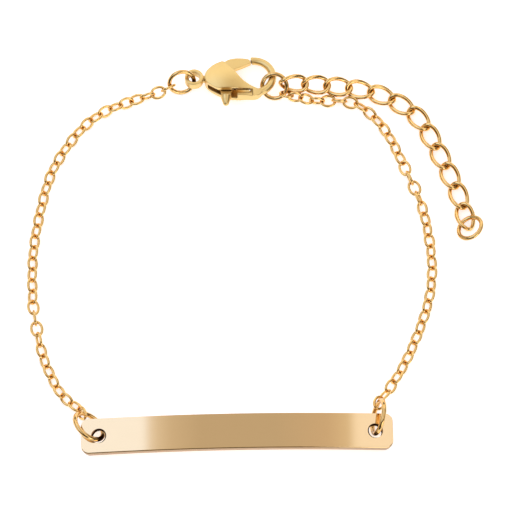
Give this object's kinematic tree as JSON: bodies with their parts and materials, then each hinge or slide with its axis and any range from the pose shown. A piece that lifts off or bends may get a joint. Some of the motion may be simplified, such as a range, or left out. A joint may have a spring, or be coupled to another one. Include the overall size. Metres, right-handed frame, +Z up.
{
  "type": "bar bracelet",
  "caption": "Gold bar bracelet laid flat: arched blank bar on fine cable chains, closed by a lobster clasp, with a curb chain extender.",
  "frame": {"origin": "middle of the footprint, on the surface that the bracelet lies on", "axes": "+X along the bar towards the extender's side, +Y from the bar towards the clasp, +Z up from the surface"},
  "size_m": [0.0594, 0.0538, 0.0048],
  "materials": {
    "pale_gold": "polished gold plate",
    "gold": "polished gold plate"
  },
  "bodies": {
    "bracelet": {"bar": "pale_gold", "bar_ring_left": "gold", "bar_ring_right": "gold", "cable_chain_left": "gold", "cable_chain_right": "gold", "clasp_ring": "gold", "clasp_body": "pale_gold", "clasp_pin": "pale_gold", "hook_ring": "gold", "end_ring": "gold", "extender_link_01": "gold", "extender_link_02": "gold", "extender_link_03": "gold", "extender_link_04": "gold", "extender_link_05": "gold", "extender_link_06": "gold", "extender_link_07": "gold", "extender_link_08": "gold", "extender_link_09": "gold", "extender_link_10": "gold", "extender_link_11": "gold", "extender_link_12": "gold"},
    "lever": {"clasp_lever": "pale_gold"}
  },
  "joints": [
    {"name": "clasp_lever", "type": "hinge", "parent": "bracelet", "child": "lever", "pos_m": [-0.00446, 0.02367, 0.0017], "axis": [0, -0.2588, -0.9659], "range_deg": [0, 25], "stiffness_Nm_per_rad": 0.001, "springref_deg": -17.19}
  ]
}
